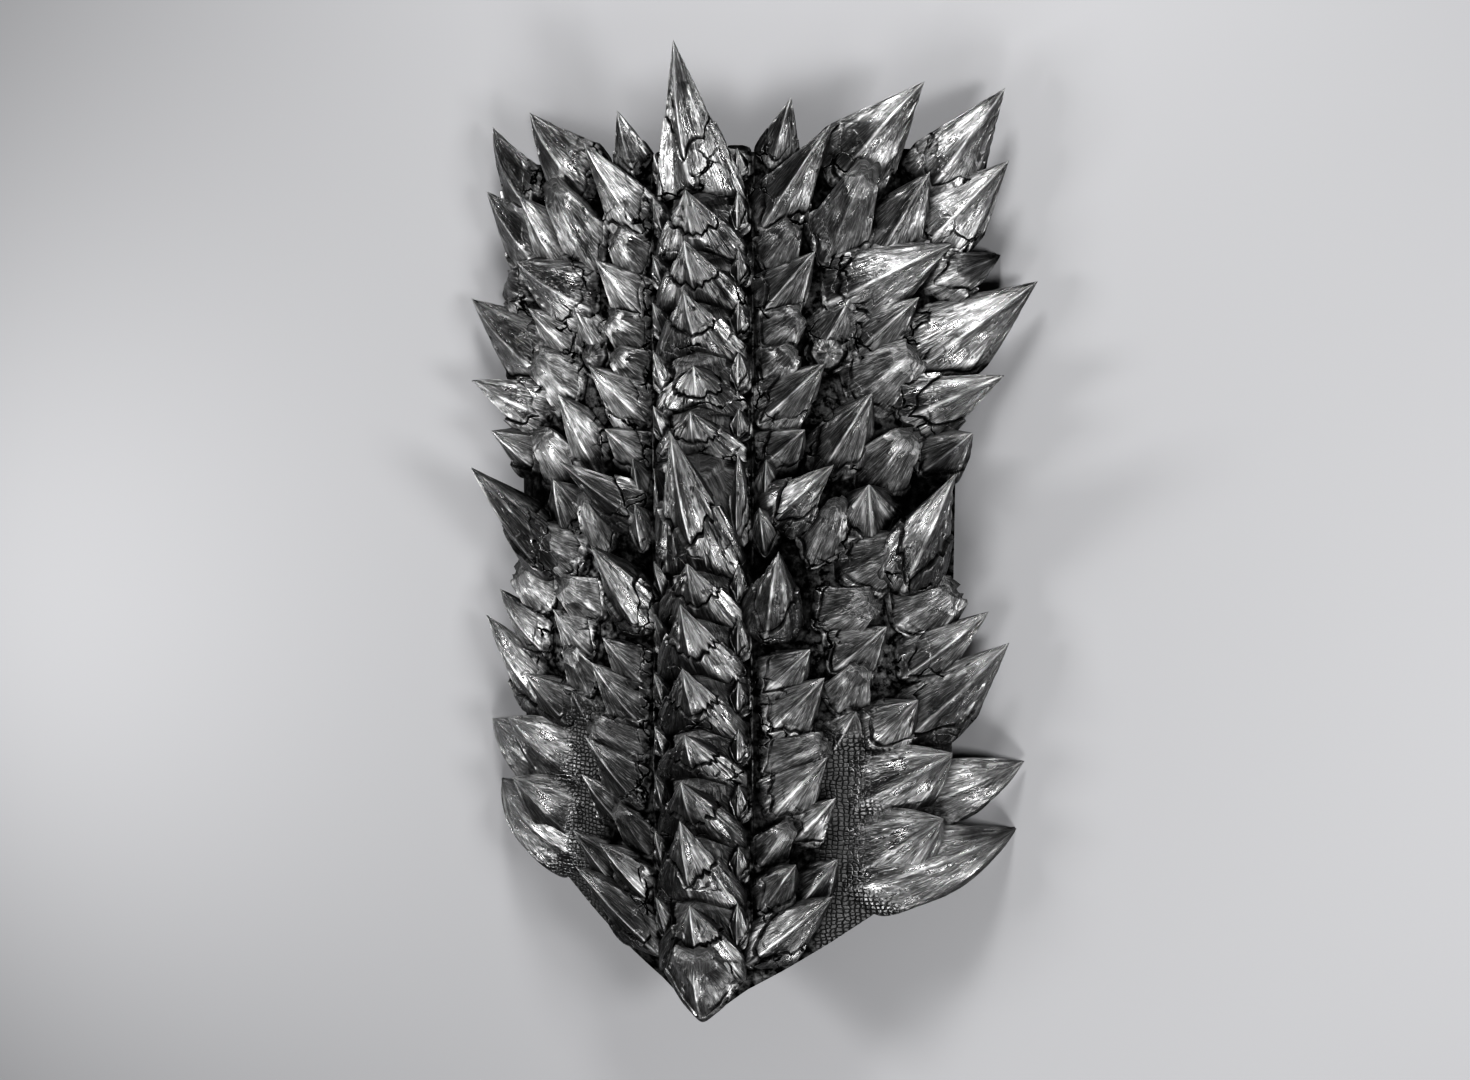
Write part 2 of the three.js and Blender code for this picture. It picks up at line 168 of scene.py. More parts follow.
flankPlates = [
    [(182, 472, 112, 78, 262, 567, 14, 1), (282, 462, 94, 78, 346, 562, 14, 1)],
    [(168, 388, 84, 102, 195, 450, 34, 0.5), (230, 391, 82, 94, 266, 459, 30, 1),
     (284, 398, 94, 92, 348, 475, 23, 1)],
    [(192, 322, 112, 100, 294, 376, 14, 1), (290, 334, 72, 72, 356, 367, -22, 1)],
    [(162, 272, 70, 70, 188, 321, 14, 1), (208, 264, 80, 78, 257, 311, 24, 1),
     (282, 250, 112, 122, 375, 331, 33, 1)],
    [(152, 236, 66, 70, 170, 256, 14, 0.5), (206, 206, 94, 70, 247, 238, 17, 0.5),
     (272, 182, 102, 84, 336, 217, 55, 1)],
    [(166, 126, 80, 116, 208, 197, 19, 1), (215, 98, 88, 78, 244, 137, 15, 0.5),
     (278, 116, 80, 78, 309, 148, 45, 1)],
    [(150, 14, 66, 84, 166, 52, 15, 0.5), (207, 42, 84, 80, 204, 86, 33, 1),
     (258, 12, 88, 136, 281, 101, 97, 1)],
    [(204, -14, 100, 86, 244, 8, 26, 0.8), (168, -78, 88, 70, 202, -60, 14, 0.5),
     (260, -72, 104, 72, 292, -50, 14, 0.5)],
    [(185, -127, 86, 72, 226, -89, 14, 1), (268, -132, 80, 82, 335, -72, 17, 1)],
    [(180, -178, 68, 62, 194, -148, 14, 0.5), (224, -218, 84, 72, 258, -176, 35, 1),
     (280, -194, 96, 114, 353, -110, 28, 1)],
    [(176, -226, 60, 60, 192, -194, 16, 1), (221, -296, 120, 98, 295, -243, 35, 1),
     (286, -304, 92, 84, 378, -263, 8, 1)],
    [(222, -376, 116, 104, 286, -324, 35, 1), (240, -400, 110, 152, 376, -352, -5, 1)],
]


def smooth(x, low, high):  # 0 below low, 1 above high, an S curve between
    t = np.clip((x - low) / (high - low), 0, 1)
    return t * t * (3 - 2 * t)


def latticeValue(ix, iy, iz, seed):  # a fixed number from 0 to 1 for each whole lattice point
    mask = 0xFFFFFFFF
    h = (ix * 374761393 + iy * 668265263 + iz * 1442695041 + seed * 974634777) & mask
    h = ((h ^ (h >> 13)) * 1274126177) & mask
    h = ((h ^ (h >> 15)) * 1103515245) & mask
    return ((h >> 8) & 0xFFFF) / 65535.0


def noise(x, y, z=0.0, seed=0):  # smooth lattice noise from -1 to 1
    x, y, z = np.broadcast_arrays(x, y, z)
    cell = [np.floor(c).astype(np.int64) for c in (x, y, z)]
    part = [c - f for c, f in zip((x, y, z), cell)]
    part = [p * p * (3 - 2 * p) for p in part]
    total = np.zeros(x.shape)
    for corner in range(8):
        bits = [(corner >> k) & 1 for k in range(3)]
        weight = np.ones(x.shape)
        for b, p in zip(bits, part):
            weight = weight * (p if b else 1 - p)
        total += weight * latticeValue(*[c + b for c, b in zip(cell, bits)], seed)
    return 2 * total - 1


def angular(x, seed):  # a broken line through random heights from -1 to 1 at whole numbers
    cell = np.floor(x).astype(np.int64)
    first, second = [2 * latticeValue(cell + k, 0 * cell, 0 * cell, seed) - 1 for k in (0, 1)]
    return first + (second - first) * (x - cell)


def layeredNoise(x, y, z=0.0, seed=0, layers=3):  # each layer twice as fine and half as strong
    total = 0
    for k in range(layers):
        total = total + noise(x * 2 ** k, y * 2 ** k, z * 2 ** k, seed + 17 * k) / 2 ** k
    return total / (2 - 2 ** (1 - layers))


def overWall(across, along, rise):  # a point at a height square to the bent face
    turn = np.arcsin(np.clip(across / wall["radius"], -1, 1))
    reach = wall["radius"] + rise
    z = wall["crown"] - wall["radius"] + reach * np.cos(turn)
    return np.stack([reach * np.sin(turn), along + 0 * across, z], -1)


def overFace(points):  # place round the bend and height over the face
    lift = points[..., 2] - wall["crown"] + wall["radius"]
    return np.arctan2(points[..., 0], lift) * wall["radius"], np.hypot(points[..., 0], lift) - wall["radius"]


def lerp(a, b, t):
    return a + (b - a) * t


midWay = 0.48  # where the middle of a blade is taken, share of the way to the point


def through(w, middle, last, first=0.0):  # a parabola through its values at 0, the middle and 1
    rise = ((middle - first) / midWay - (last - first)) / (midWay - 1)
    return first + w * ((last - first) + rise * (w - 1))


# A rim as a closed loop of points, with the corner behind each point and the way to the next one.
def rimLoop(kind):
    half = rims[kind]
    skip = 1 if half[-1][0] == 0 else 0
    loop = np.array(half + [(-a, b) for a, b in half[::-1]][skip:-1], float)
    onSpine = kind in ("spine", "tallSpine")
    perSide = scale["spinePoints" if onSpine else "loopPoints"] // len(loop)
    corner, step = np.divmod(np.arange(len(loop) * perSide), perSide)
    way = 0.5 * step / perSide + 0.5 * smooth(step / perSide, 0, 1)
    return loop, corner, way, max(1, round(scale["rounding"] * perSide))


def rounded(loop, reach):  # a closed run of points, each drawn toward its neighbours
    weights = np.hanning(2 * reach + 3)[1:-1]
    total = sum(k * np.roll(loop, i - reach, 0) for i, k in enumerate(weights))
    return total / weights.sum()


# A footprint's rim over the wall. The arc runs along it from the keel's foot, negative to the left, front
# is the share of the way from the foot to the widest point, and upward fades out round the head.
def footprint(row, kind, edge, foot):
    across, along, wide, long, tipAcross, tipAlong = row[:6]
    loop, corner, way, bend = rimLoop(kind)
    after = (corner + 1) % len(loop)
    length = np.hypot(tipAcross - across, tipAlong - along)
    sin, cos = (tipAcross - across) / length, (tipAlong - along) / length
    halves = np.array([wide, long]) / 2
    side, fore = (rounded(lerp(loop[corner], loop[after], way[:, None]), bend) * halves).T
    rises = np.full(len(loop), float(edge))
    rises[[1, -1]] += 0.35 * (foot - edge)
    rises[0] = foot
    steps = np.hypot(np.roll(side, -1) - side, np.roll(fore, -1) - fore)
    arc = np.concatenate([[0], np.cumsum(steps)[:-1]])
    arc = np.where(arc > steps.sum() / 2, arc - steps.sum(), arc)
    turn = np.abs(arc) / (steps.sum() / 2)
    return SimpleNamespace(
        corner=corner,
        after=after,
        way=way,
        across=across + side * cos + fore * sin,
        along=along - side * sin + fore * cos,
        rise=rounded(lerp(rises[corner], rises[after], way), 3),
        facetWide=np.hypot(*((loop[after] - loop[corner]) * halves).T),
        onKeel=np.where(corner == 0, 1 - way, np.where(after == 0, way, 0)),
        arc=arc,
        front=turn / turn[np.argmax(np.round(side, 1))],
        upward=1 - smooth(turn, 0.55, 0.75),
    )


# Where the root block ends, as a share of each rim point's way to the tip, and how much of a ledge it has.
def ledgeLine(rim, kind, seed):
    if kind in ledges:
        ends = np.array(ledges[kind] + ledges[kind][-2:0:-1])
        border = rounded(lerp(ends[rim.corner], ends[rim.after], rim.way), 2)
        footward = smooth(border, 0.06, 0.16)
    else:
        pick = np.random.default_rng(seed)
        border = lerp(pick.uniform(0.05, 0.14), pick.uniform(0.14, 0.34), np.clip(rim.front, 0, 1))
        border = border * (1 - 0.75 * smooth(rim.front, 1.05, 1.6))
        footward = 1 - smooth(rim.front, 1.0, 1.3)
    teeth = 0.05 * footward * angular(rim.arc / marks["tooth"], seed)
    return np.clip(border + teeth, 0.04, 0.65), footward


# Rings from the rim to the ledge and from there to the tip, closest together at the ledge. Each is a
# share w of the way to the tip.
def ringsOver(rim, kind, seed, fine):
    border, footward = ledgeLine(rim, kind, seed)
    t = np.linspace(0, 1, int(fine * scale["rootRings"]))[:, None]
    lower = border * (1 - (1 - t) ** 1.5)
    t = np.linspace(0, 1, int(fine * scale["bladeRings"]) + 1)[1:, None]
    upper = border + (0.985 - border) * t ** 1.5
    inBlock = np.concatenate([np.ones_like(lower), np.zeros_like(upper)])
    w = np.concatenate([lower, upper])
    return SimpleNamespace(w=w, inBlock=inBlock, border=border, footward=footward)


# A cone over the footprint: each rim point has a line to the tip, along which the footprint shrinks, the
# keel over its foot is lifted, and the underside of a low blade is drawn in.
def coneOver(row, rim, rings, seed, edge, keel, fat):
    across, along, wide, long, tipAcross, tipAlong, tipRise, taper = row
    w = rings.w
    base = overWall(np.array(float(across)), along, edge)
    tip = overWall(np.array(float(tipAcross)), tipAlong, tipRise)
    up = overWall(np.array(float(across)), along, edge + 1) - base
    rise = (tip - base) @ up
    ahead = tip - base - rise * up
    out = np.linalg.norm(ahead)
    ahead = ahead / out
    reach = np.hypot(out, rise)
    arms = overWall(rim.across, rim.along, rim.rise) - base
    lines = np.linalg.norm(arms + base - tip, axis=1)
    if taper < 1:
        share = through(w, 0.5 ** (0.7 * taper), scale["bluntShare"], 1.0)
        ragged = scale["ragged"] * angular(rim.arc / marks["tooth"], seed + 2) * smooth(w, 0.55, 1)
    else:
        share = 1 - w ** fat
        ragged = 0 * w
    middle = max(midWay * rise, scale["bladeLift"] * reach)
    height = through(w, middle, rise)
    fall = max(0, middle - rise) / ((1 - midWay) * out)
    depth = np.clip(scale["bladeThick"] + middle - rise, 0, scale["bladeThick"])
    bow = 4 * w * (1 - w)
    drop = bow * np.maximum(0, 0.5 * arms @ ahead) * (fall + depth / (0.25 * long))
    lift = keel * scale["ridge"] * reach * bow * rim.onKeel
    points = (base + ahead * (w * out + ragged)[..., None] + up * (height + lift - drop)[..., None]
              + arms * share[..., None])
    return SimpleNamespace(
        points=points,
        share=share,
        bow=bow,
        tip=tip,
        lines=lines,
        past=(w - rings.border) * lines,  # millimetres beyond the ledge
        besideCorner=np.minimum(rim.way, 1 - rim.way) * rim.facetWide * share,
    )


# Pushes square to the cone: hollow facets between the corners, a raised root block that ends in a ledge with
# a crack, grooves from there to the tip, dents, and notches in the rims of the blade.
def relief(row, rim, rings, cone, kind, seed, block):
    w, inBlock, arc = rings.w, rings.inBlock, rim.arc
    size = np.clip(row[3] / 80, 0.55, 1.35) * block
    place = np.moveaxis(cone.points, -1, 0)
    knots = layeredNoise(*(place / marks["knot"]), seed, 3)
    waves = layeredNoise(*(place / marks["wave"]), seed + 3, 2)
    ridges = 1 - 2.4 * np.abs(noise(arc / marks["ridge"], w * 2.2, seed, seed + 5))
    fineStreak = noise(arc / marks["fineStreak"], w * 1.6, seed, seed + 11)
    broadStreak = noise(arc / marks["broadStreak"], w * 1.2, seed, seed + 12)
    broken = 1.0
    if kind not in ledges:
        broken = smooth(noise(arc / marks["crackRun"], seed, 0.3, 78), -0.25, 0.25)
    gape = 1.9 + 1.2 * noise(arc / marks["crackGape"], seed, 0.7, 79)
    crack = np.exp(-((cone.past - 0.6 * gape) / gape) ** 2) * (1 - inBlock)
    crack = crack * rings.footward * broken * min(1, 2 * block)
    blockWay = np.clip(w / rings.border, 0, 1)
    dome = np.sqrt(np.clip(1 - (1 - blockWay) ** 2, 0, 1)) * inBlock
    push = -scale["hollow"] * rim.facetWide * np.sin(np.pi * rim.way) * cone.bow * rim.upward * cone.share
    push = push + size * scale["ledge"] * dome * rings.footward
    push = push - size * scale["crack"] * crack
    push = push + inBlock * dome * (scale["grooves"] * ridges + 0.5 * knots) * rings.footward * size
    streaks = (1 - inBlock) * scale["streak"] * (fineStreak + broadStreak)
    push = push + streaks * np.minimum(1, 3 * (1 - w)) * rim.upward
    push = push + scale["dents"] * waves * np.minimum(1, 2.5 * (1 - w))
    atEdge = np.exp(-(cone.besideCorner / marks["chipReach"]) ** 2) * (rim.onKeel < 0.5) * rim.upward
    notch = np.maximum(0, noise(cone.past / marks["chip"], np.sign(arc), seed, seed + 21) - 0.3)
    push = push - scale["chips"] * notch * atEdge * (1 - inBlock)
    return push, crack


# Looks: worn keel, rims and ledge, also painted highlight; painted shade in cracks, undersides and round
# rims; shares of root metal and hair cracks.
def spikeLooks(rim, rings, cone, crack, seed, block, keel, root):
    w, inBlock, arc = rings.w, rings.inBlock, rim.arc
    fromRim = w * cone.lines
    # worn lines along the keel, rims and ledge lip, brightened as wear and as painted highlight
    worn = keel * np.exp(-(arc * cone.share / marks["wornKeel"]) ** 2) * smooth(fromRim, 5, 14)
    rimLine = np.exp(-(cone.besideCorner / marks["wornRim"]) ** 2) * rim.upward
    rimLine = rimLine * (1 - inBlock) * (rim.onKeel < 0.5)
    worn = np.maximum(worn, 0.4 * rimLine)
    lip = np.exp(-(cone.past / marks["wornLip"]) ** 2) * inBlock * rings.footward * block
    lipRuns = smooth(noise(arc / marks["lipRun"], seed, 0, 77), 0, 0.5)
    worn = np.maximum(worn, 0.35 * lip * lipRuns)
    # painted shade: full in the crack, under the head, and in a band along the rim where the root meets the
    # wall
    dark = np.maximum(crack, 0.7 * (1 - rim.upward))
    dark = np.maximum(dark, 0.8 * min(1, block) * (1 - smooth(fromRim, 0, 5)))
    return {
        "worn": worn,
        "dark": dark,
        "rooty": 1 - smooth(fromRim, *root),
        "split": min(1, block) * (1 - smooth(w, 0.15, 0.45)),
    }


# the skirt at each scale's root is painted in full shade
skirtLooks = {"worn": 0.0, "dark": 1.0, "rooty": 1.0, "split": 0.0}


# A scale: the cone with its relief, on a skirt of two rings that stands in the wall.
def spikeSurface(row, seed, kind=None, edge=None, foot=None, block=1.0, keel=1.0, fat=1.03, root=(4, 16),
                 fine=1.0):
    across, along, wide = row[:3]
    tipRise, taper = row[6:]
    kind = kind or ("thorn" if tipRise > scale["tallRise"] else None)
    kind = kind or ("small" if wide < scale["smallWide"] else "leaf")
    edge = edge or scale["edge"]
    rim = footprint(row, kind, edge, foot or edge)
    rings = ringsOver(rim, kind, seed, fine)
    cone = coneOver(row, rim, rings, seed, edge, keel, fat)
    push, crack = relief(row, rim, rings, cone, kind, seed, block)
    sideways = np.roll(cone.points, -1, 1) - np.roll(cone.points, 1, 1)
    normal = np.cross(sideways, np.gradient(cone.points, axis=0))
    normal = normal / (np.linalg.norm(normal, axis=-1, keepdims=True) + 1e-9)
    points = cone.points + normal * push[..., None]

    sunk = np.full_like(rim.arc, -scale["sunk"])
    skirt = np.stack([overWall(rim.across, rim.along, sunk),
                      overWall(rim.across, rim.along, scale["skirt"] * rim.rise)])
    points = np.concatenate([skirt, points])
    pole = overWall(np.array(float(across)), along, -scale["sunk"])
    end = points[-1].mean(0) if taper < 1 else cone.tip
    looks = spikeLooks(rim, rings, cone, crack, seed, block, keel, root)
    for name, value in skirtLooks.items():
        looks[name] = np.concatenate([np.full(skirt.shape[:2], value), looks[name]])
    grainAcross, grainAlong = scale["grainStart"]
    grain = rim.arc + grainAcross + scale["grainStep"] * seed
    uv = np.stack([grain * np.ones_like(rings.w), rings.w * cone.lines + grainAlong], -1)
    uv = np.concatenate([np.stack([uv[0], uv[0]]), uv]) * mm
    return closedTube(points, pole, end, uv, looks)


hideArea = {"inner": (135, 155), "outer": (250, 330), "top": (-235, -190)}  # soft borders, in millimetres


def hideShare(x, y):  # the celled hide of the lower flanks
    across = np.abs(x)
    between = smooth(across, *hideArea["inner"]) * (1 - smooth(across, *hideArea["outer"]))
    return between * (1 - smooth(y, *hideArea["top"]))


# A grid of stations whose sections close on themselves, with a pole at each end.
def closedTube(points, firstPole, lastPole, uv, looks):
    rows, count = points.shape[:2]
    verts = np.concatenate([points.reshape(-1, 3), firstPole[None], lastPole[None]])
    verts[:, 2] = np.maximum(verts[:, 2], 0)
    i = np.arange(rows - 1)[:, None] * count
    j = np.arange(count)[None, :]
    k = (j + 1) % count
    quads = np.stack([i + j, i + k, i + count + k, i + count + j], -1).reshape(-1, 4)
    ring = np.arange(count)
    after = (ring + 1) % count
    last = (rows - 1) * count
    first = np.full(count, rows * count)
    tris = np.concatenate([
        np.stack([first, after, ring], -1),
        np.stack([first + 1, last + ring, last + after], -1),
    ])
    flat = {}
    for name, values in looks.items():
        flat[name] = np.concatenate([values.ravel(), [values[0].mean()], [values[-1].mean()]])
    flat["hide"] = hideShare(verts[:, 0], verts[:, 1])
    uvFlat = np.concatenate([uv.reshape(-1, 2), uv[0].mean(0)[None], uv[-1].mean(0)[None]])
    return {"verts": verts, "quads": quads, "tris": tris, "uv": uvFlat, "looks": flat}


def flipped(part):  # the same surface with its faces turned round
    return {**part, "quads": part["quads"][:, ::-1], "tris": part["tris"][:, ::-1]}


def joined(parts):  # several closed surfaces as one set of arrays
    start = np.cumsum([0] + [len(p["verts"]) for p in parts])
    return {
        "verts": np.concatenate([p["verts"] for p in parts]),
        "quads": np.concatenate([p["quads"] + s for p, s in zip(parts, start)]),
        "tris": np.concatenate([p["tris"] + s for p, s in zip(parts, start)]),
        "uv": np.concatenate([p["uv"] for p in parts]),
        "looks": {n: np.concatenate([p["looks"][n] for p in parts]) for n in parts[0]["looks"]},
    }


def mirrored(part):  # the left hand copy, its faces turned so that they still point out
    return flipped({**part, "verts": part["verts"] * np.array([-1, 1, 1])})


# painted shade in the hollows, sizes in millimetres
hollows = {
    "cell": 3.0,
    "half": (450, 640),  # half the grid, across and along
    "blur": 12,
    "depth": (-5, 9),    # where the shade begins and where it is full
    "offHide": 0.6,      # share of it that the hide does without
}


# Painted shade in the hollows: how deep each point lies among its neighbours, from the tallest heights over
# the face, gathered on a grid and blurred, less the point's own height; the deeper, the darker it is
# painted.
def paintShadeInHollows(parts):
    cell = hollows["cell"]
    halfAcross, halfAlong = hollows["half"]
    across, high = overFace(np.concatenate([p["verts"] for p in parts]))
    along = np.concatenate([p["verts"][:, 1] for p in parts])
    columns = ((across + halfAcross) / cell).astype(int)
    lines = ((along + halfAlong) / cell).astype(int)
    tall = np.zeros((int(2 * halfAlong / cell), int(2 * halfAcross / cell)))
    np.maximum.at(tall, (lines, columns), high)
    rowWave = np.fft.fftfreq(tall.shape[0], cell)[:, None]
    columnWave = np.fft.fftfreq(tall.shape[1], cell)[None, :]
    spread = np.exp(-2 * (np.pi * hollows["blur"]) ** 2 * (rowWave ** 2 + columnWave ** 2))
    around = np.real(np.fft.ifft2(np.fft.fft2(tall) * spread))
    deep = smooth(around[lines, columns] - high, *hollows["depth"])
    start = 0
    for p in parts:
        count = len(p["verts"])
        covered = deep[start:start + count] * (1 - p.get("open", 0))
        covered = covered * (1 - hollows["offHide"] * p["looks"]["hide"])
        p["looks"]["dark"] = np.maximum(p["looks"]["dark"], covered)
        start += count


def addPiece(name, part, material, slotName, *nodes):
    mesh = bpy.data.meshes.new(name)
    faces = part["quads"].tolist() + part["tris"].tolist()
    mesh.from_pydata((part["verts"] * mm).tolist(), [], faces)
    for look, values in part["looks"].items():
        layer = mesh.attributes.new(look, "FLOAT", "POINT")
        layer.data.foreach_set("value", values.astype(np.float32))
    loops = np.zeros(len(mesh.loops), np.int32)
    mesh.loops.foreach_get("vertex_index", loops)
    layer = mesh.uv_layers.new(name="grain")
    layer.data.foreach_set("uv", part["uv"][loops].astype(np.float32).ravel())
    mesh.polygons.foreach_set("use_smooth", np.ones(len(mesh.polygons), bool))
    mesh.materials.append(material)
    mesh.update()
    mesh.set_sharp_from_angle(angle=np.radians(scale["crisp"]))
    piece = bpy.data.objects.new(name, mesh)
    bpy.context.scene.collection.objects.link(piece)
    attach(piece, "root")
    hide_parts(*nodes)
    return piece


# The wall: stations down the outline, and at each one a loop across the face and back over the rear.
def wallSurface():
    along, halves = np.array(wall["outline"], float).T
    y = lerp(along[0], along[-1], np.linspace(0, 1, wall["stations"])[:, None])
    half = np.interp(-y, -along, halves)
    count = wall["columns"]
    w = np.concatenate([np.linspace(-1, 1, count), np.linspace(1, -1, count)])[None, :]
    isTop = np.repeat([1.0, 0.0], count)[None, :]
    x = w * half
    inward = (1 - np.abs(w)) * half
    below = along[0] - y
    knots = layeredNoise(x / wall["knotSize"], y / wall["knotSize"], 0, 41, 4)
    creases = 1 - 2 * np.abs(noise(x / wall["creaseSize"], y / wall["creaseSize"], 0, 43))
    rimFade = smooth(inward, 0, wall["dentFade"][0]) * smooth(below, 0, wall["dentFade"][1])
    bed = wall["bed"] * smooth(inward, 0, wall["bedFade"][0]) * smooth(below, 0, wall["bedFade"][1])
    front = bed - wall["seat"] + wall["dents"] * (knots + 0.5 * creases) * rimFade
    hammered = wall["hammer"] * noise(x / wall["hammerSize"], y / wall["hammerSize"], 0, 47) - wall["thick"]
    points = overWall(x, y + 0 * w, np.where(isTop > 0, front, hammered))
    face = isTop * np.ones_like(x)
    # the wall's bare face between the scales gets some painted shade
    looks = {"worn": 0 * face, "dark": 0.3 * face, "rooty": face, "split": 0.6 * face}
    uv = np.stack([x + 0 * y, y + 0 * x], -1) * mm
    poles = [overWall(np.array(0.0), end, -wall["thick"] / 2) for end in (along[0], along[-1])]
    return flipped(closedTube(points, *poles, uv, looks))


# hand grip, sizes in millimetres
grip = {
    "span": 166,
    "tall": 28,
    "thick": 16,
    "rear": 70,
    "foot": 26,
    "bend": 16,
    "soften": 15,       # stations over which the bends are rounded, an odd number
    "square": 0.35,     # section: 1 is an ellipse, less is squarer
    "dents": 0.35,
    "dentSize": 9,
    "sides": 40,
    "stations": 90,
}


# The grip: a rounded bar section carried along a flat bow from one foot to the other.
def gripSurface():
    half = grip["span"] / 2 - grip["foot"] / 2
    low = grip["rear"] + grip["thick"] / 2
    high = wall["crown"] - wall["thick"] + 1
    bend = grip["bend"]
    knots = np.array([(-half, high), (-half, low + bend), (-half + bend, low),
                      (half - bend, low), (half, low + bend), (half, high)], float)
    gaps = np.hypot(*np.diff(knots, axis=0).T)
    at = np.concatenate([[0], np.cumsum(gaps)])
    s = np.linspace(0, at[-1], grip["stations"])
    path = np.stack([np.interp(s, at, knots[:, 0]), np.interp(s, at, knots[:, 1])], -1)
    kernel = np.hanning(grip["soften"]) / np.hanning(grip["soften"]).sum()
    spare = grip["soften"] // 2
    padded = np.pad(path, ((spare, spare), (0, 0)), mode="reflect", reflect_type="odd")
    path = np.stack([np.convolve(padded[:, k], kernel, "valid") for k in range(2)], -1)
    ahead = np.gradient(path, axis=0)
    ahead = ahead / np.linalg.norm(ahead, axis=1)[:, None]
    side = np.stack([-ahead[:, 1], ahead[:, 0]], -1)
    angle = np.linspace(0, 2 * np.pi, grip["sides"], endpoint=False)[None, :]
    flat = np.sign(np.cos(angle)) * np.abs(np.cos(angle)) ** grip["square"]
    tall = np.sign(np.sin(angle)) * np.abs(np.sin(angle)) ** grip["square"]
    width = lerp(grip["foot"], grip["thick"], smooth(np.abs(side[:, 1])[:, None], 0.2, 0.9)) / 2
    dents = grip["dents"] * noise(s[:, None] / grip["dentSize"], angle * 2, 0, 71)
    out = (width + dents) * flat
    x = path[:, 0:1] + side[:, 0:1] * out
    z = path[:, 1:2] + side[:, 1:2] * out
    y = (grip["tall"] / 2 + dents) * tall + 0 * x
    z = np.minimum(z, wall["crown"] - wall["thick"] / 2 - 0.5 * x ** 2 / wall["radius"])
    points = np.stack([x, y, np.maximum(z, grip["rear"])], -1)
    grid = np.ones_like(x)
    # worn square corners, as wear and painted sheen, and an even painted shade on the whole grip
    looks = {"worn": 0.6 * np.exp(-((np.abs(flat) - np.abs(tall)) / 0.08) ** 2) * grid,
             "dark": 0.2 * grid, "rooty": 0.6 * grid, "split": 0 * grid}
    uv = np.stack([y, s[:, None] + 0 * x], -1) * mm
    return flipped(closedTube(points, points[0].mean(0), points[-1].mean(0), uv, looks))


# shader groups
def newGroup(name, inputs, outputs):
    group = bpy.data.node_groups.new(name, "ShaderNodeTree")
    for label, kind, value in inputs:
        socket = group.interface.new_socket(label, in_out="INPUT", socket_type=kind)
        if value is not None:
            socket.default_value = value
    for label, kind in outputs:
        group.interface.new_socket(label, in_out="OUTPUT", socket_type=kind)
    return group, group.nodes.new("NodeGroupInput"), group.nodes.new("NodeGroupOutput")


def addNode(tree, kind, links=(), **settings):
    node = tree.nodes.new(kind)
    for key, value in settings.items():
        if key in node.bl_rna.properties:
            setattr(node, key, value)
        else:
            node.inputs[key.replace("_", " ")].default_value = value
    for socket, source in links:
        tree.links.new(source, node.inputs[socket])
    return node


def mathNode(tree, operation, first, second=None):
    node = tree.nodes.new("ShaderNodeMath")
    node.operation = operation
    for k, value in enumerate((first, second)):
        if value is None:
            continue
        if isinstance(value, (int, float)):
            node.inputs[k].default_value = value
        else:
            tree.links.new(value, node.inputs[k])
    return node.outputs[0]


def ramp(tree, value, *stops):
    node = tree.nodes.new("ShaderNodeValToRGB")
    tree.links.new(value, node.inputs[0])
    while len(node.color_ramp.elements) < len(stops):
        node.color_ramp.elements.new(0.5)
    for element, (place, tone) in zip(node.color_ramp.elements, stops):
        element.position = place
        element.color = (tone, tone, tone, 1)
    return node.outputs[0]


# the iron's patterns, in repeats for each metre
patterns = {
    "streak": (320, 36, 1),      # across a scale and down it
    "fineStreak": 2.1,           # how much finer the second streaks are
    "patch": (60, 30, 1),
    "pit": 520.0,
    "knot": 95.0,
    "hide": (150, 185, 20),
    "hideBend": (30.0, 0.012),   # repeats, and how far the cells are moved in metres
    "crack": 34.0,
    "crackBend": (55.0, 0.02),
    "crackRuns": 24.0,           # stretches with and without cracks
}


def streakGroup():  # long scratches and grooves that run from root to point, and broad patches
    group, take, give = newGroup(
        "spikeStreaks",
        [("Vector", "NodeSocketVector", None)],
        [("Streak", "NodeSocketFloat"), ("Patch", "NodeSocketFloat")],
    )
    links = [("Vector", take.outputs["Vector"])]
    stretch = addNode(group, "ShaderNodeMapping", links, Scale=patterns["streak"])
    patchMap = addNode(group, "ShaderNodeMapping", links, Scale=patterns["patch"])
    links = [("Vector", stretch.outputs[0])]
    broad = addNode(group, "ShaderNodeTexNoise", links, Scale=1.0, Detail=2.0)
    narrow = addNode(group, "ShaderNodeTexNoise", links, Scale=patterns["fineStreak"], Detail=2.0)
    links = [("Vector", patchMap.outputs[0])]
    patch = addNode(group, "ShaderNodeTexNoise", links, Scale=1.0, Detail=3.0)
    both = mathNode(group, "ADD", broad.outputs[0], narrow.outputs[0])
    group.links.new(mathNode(group, "MULTIPLY", both, 0.5), give.inputs["Streak"])
    group.links.new(patch.outputs[0], give.inputs["Patch"])
    return group


def pitGroup():  # pitted, knotted iron
    group, take, give = newGroup(
        "gnarlPits",
        [("Vector", "NodeSocketVector", None)],
        [("Pit", "NodeSocketFloat"), ("Knot", "NodeSocketFloat")],
    )
    links = [("Vector", take.outputs[0])]
    cells = addNode(group, "ShaderNodeTexVoronoi", links, Scale=patterns["pit"])
    knot = addNode(group, "ShaderNodeTexNoise", links, Scale=patterns["knot"], Detail=6.0, Roughness=0.62)
    wide = mathNode(group, "MULTIPLY", cells.outputs["Distance"], knot.outputs[0])
    group.links.new(wide, give.inputs["Pit"])
    group.links.new(knot.outputs[0], give.inputs["Knot"])
    return group


